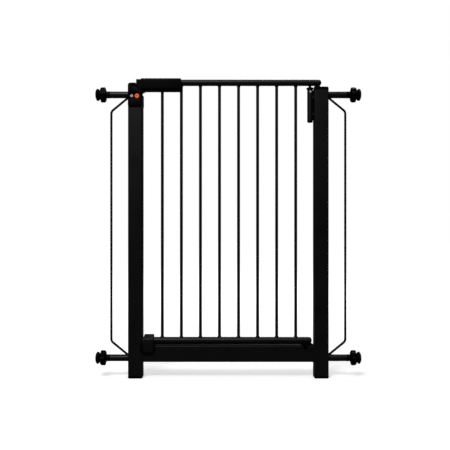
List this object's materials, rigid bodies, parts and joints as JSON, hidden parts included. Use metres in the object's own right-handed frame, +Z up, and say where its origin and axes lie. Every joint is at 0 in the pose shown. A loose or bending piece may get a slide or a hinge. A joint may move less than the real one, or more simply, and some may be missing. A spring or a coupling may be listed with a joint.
{
  "type": "safety baby gate",
  "caption": "Pressure-fit safety gate for a doorway: a braced steel frame on screw feet holds a self-closing barred gate that slides and lifts out of its latch.",
  "frame": {"origin": "on the floor, midway between the outer faces of the wall pads and midway through the depth", "axes": "+X across the doorway towards the hinge side, +Y away from the side that the gate opens to, +Z up"},
  "size_m": [0.75, 0.046, 0.845],
  "materials": {
    "black_powder_coat": "satin black powder coat with fine orange peel",
    "black_plastic": "matte moulded, fine spark texture",
    "black_rubber": "matte",
    "orange_plastic": "semi-gloss",
    "zinc_steel": "bright zinc plated"
  },
  "bodies": {
    "frame": {"left_post": "black_powder_coat", "right_post": "black_powder_coat", "crossbar": "black_powder_coat", "left_foot_cap": "black_plastic", "right_foot_cap": "black_plastic", "right_post_cap": "black_plastic", "left_side_tubes": "black_powder_coat", "right_side_tubes": "black_powder_coat", "left_filler_wire": "black_powder_coat", "right_filler_wire": "black_powder_coat", "tube_bushes": "black_plastic", "hinge_barrel": "black_powder_coat", "barrel_weld_tabs": "black_powder_coat", "barrel_cap": "black_plastic", "barrel_plug": "black_plastic", "barrel_rivet": "zinc_steel", "closing_spring": "zinc_steel", "lower_hinge_bush": "black_plastic", "latch_front_cover": "black_plastic", "latch_rear_cover": "black_plastic", "latch_cover_screw": "zinc_steel", "latch_rear_screws": "zinc_steel", "button_spring": "zinc_steel", "stop_cup": "black_plastic"},
    "swing_hub": {"hinge_driver": "zinc_steel"},
    "gate_panel": {"upper_hinge_pin": "black_powder_coat", "lower_hinge_pin": "black_powder_coat", "top_rail": "black_powder_coat", "bottom_rail": "black_powder_coat", "upright_bars": "black_powder_coat", "top_rail_plug": "black_plastic", "bottom_rail_plugs": "black_plastic", "handle_front_shell": "black_plastic", "handle_rear_shell": "black_plastic", "handle_screws": "zinc_steel", "handle_nose": "black_plastic", "bolt_spring": "zinc_steel", "stop_clip": "black_powder_coat", "clip_screw": "zinc_steel", "lock_peg": "zinc_steel"},
    "bolt": {"lock_bolt": "zinc_steel", "thumb_slider": "black_plastic"},
    "release_button": {"release_button": "orange_plastic"},
    "screw_foot_left_top": {"rod_left_top": "zinc_steel", "pad_left_top": "black_rubber"},
    "hand_wheel_left_top": {"wheel_left_top": "black_plastic"},
    "screw_foot_left_low": {"rod_left_low": "zinc_steel", "pad_left_low": "black_rubber"},
    "hand_wheel_left_low": {"wheel_left_low": "black_plastic"},
    "screw_foot_right_top": {"rod_right_top": "zinc_steel", "pad_right_top": "black_rubber"},
    "hand_wheel_right_top": {"wheel_right_top": "black_plastic"},
    "screw_foot_right_low": {"rod_right_low": "zinc_steel", "pad_right_low": "black_rubber"},
    "hand_wheel_right_low": {"wheel_right_low": "black_plastic"}
  },
  "joints": [
    {"name": "gate_swing", "type": "hinge", "parent": "frame", "child": "swing_hub", "pos_m": [0.2315, 0, 0], "axis": [0, 0, 1], "range_deg": [0, 90], "stiffness_Nm_per_rad": 0.45, "springref_deg": -45.84, "deforming": ["closing_spring"]},
    {"name": "gate_lift", "type": "slide", "parent": "swing_hub", "child": "gate_panel", "axis": [0, 0, 1], "range_m": [0, 0.012]},
    {"name": "bolt_slide", "type": "slide", "parent": "gate_panel", "child": "bolt", "axis": [1, 0, 0], "range_m": [0, 0.011], "stiffness_N_per_m": 300, "springref_m": -0.012, "deforming": ["bolt_spring"]},
    {"name": "button_push", "type": "slide", "parent": "frame", "child": "release_button", "axis": [0, 1, 0], "range_m": [0, 0.003], "stiffness_N_per_m": 400, "springref_m": -0.004, "deforming": ["button_spring"]},
    {"name": "wheel_turn_left_top", "type": "hinge", "parent": "frame", "child": "hand_wheel_left_top", "pos_m": [-0.355, 0, 0.8], "axis": [-1, 0, 0], "range_deg": [0, 4200]},
    {"name": "foot_screw_left_top", "type": "slide", "parent": "frame", "child": "screw_foot_left_top", "axis": [-1, 0, 0], "range_m": [0, 0.0351]},
    {"name": "wheel_turn_left_low", "type": "hinge", "parent": "frame", "child": "hand_wheel_left_low", "pos_m": [-0.355, 0, 0.055], "axis": [-1, 0, 0], "range_deg": [0, 4200]},
    {"name": "foot_screw_left_low", "type": "slide", "parent": "frame", "child": "screw_foot_left_low", "axis": [-1, 0, 0], "range_m": [0, 0.0351]},
    {"name": "wheel_turn_right_top", "type": "hinge", "parent": "frame", "child": "hand_wheel_right_top", "pos_m": [0.355, 0, 0.8], "axis": [1, 0, 0], "range_deg": [0, 4200]},
    {"name": "foot_screw_right_top", "type": "slide", "parent": "frame", "child": "screw_foot_right_top", "axis": [1, 0, 0], "range_m": [0, 0.0351]},
    {"name": "wheel_turn_right_low", "type": "hinge", "parent": "frame", "child": "hand_wheel_right_low", "pos_m": [0.355, 0, 0.055], "axis": [1, 0, 0], "range_deg": [0, 4200]},
    {"name": "foot_screw_right_low", "type": "slide", "parent": "frame", "child": "screw_foot_right_low", "axis": [1, 0, 0], "range_m": [0, 0.0351]}
  ],
  "couplings": [
    {"joint": "foot_screw_left_top", "follows": "wheel_turn_left_top", "m_per_rad": 0.00047746},
    {"joint": "foot_screw_left_low", "follows": "wheel_turn_left_low", "m_per_rad": 0.00047746},
    {"joint": "foot_screw_right_top", "follows": "wheel_turn_right_top", "m_per_rad": 0.00047746},
    {"joint": "foot_screw_right_low", "follows": "wheel_turn_right_low", "m_per_rad": 0.00047746}
  ]
}
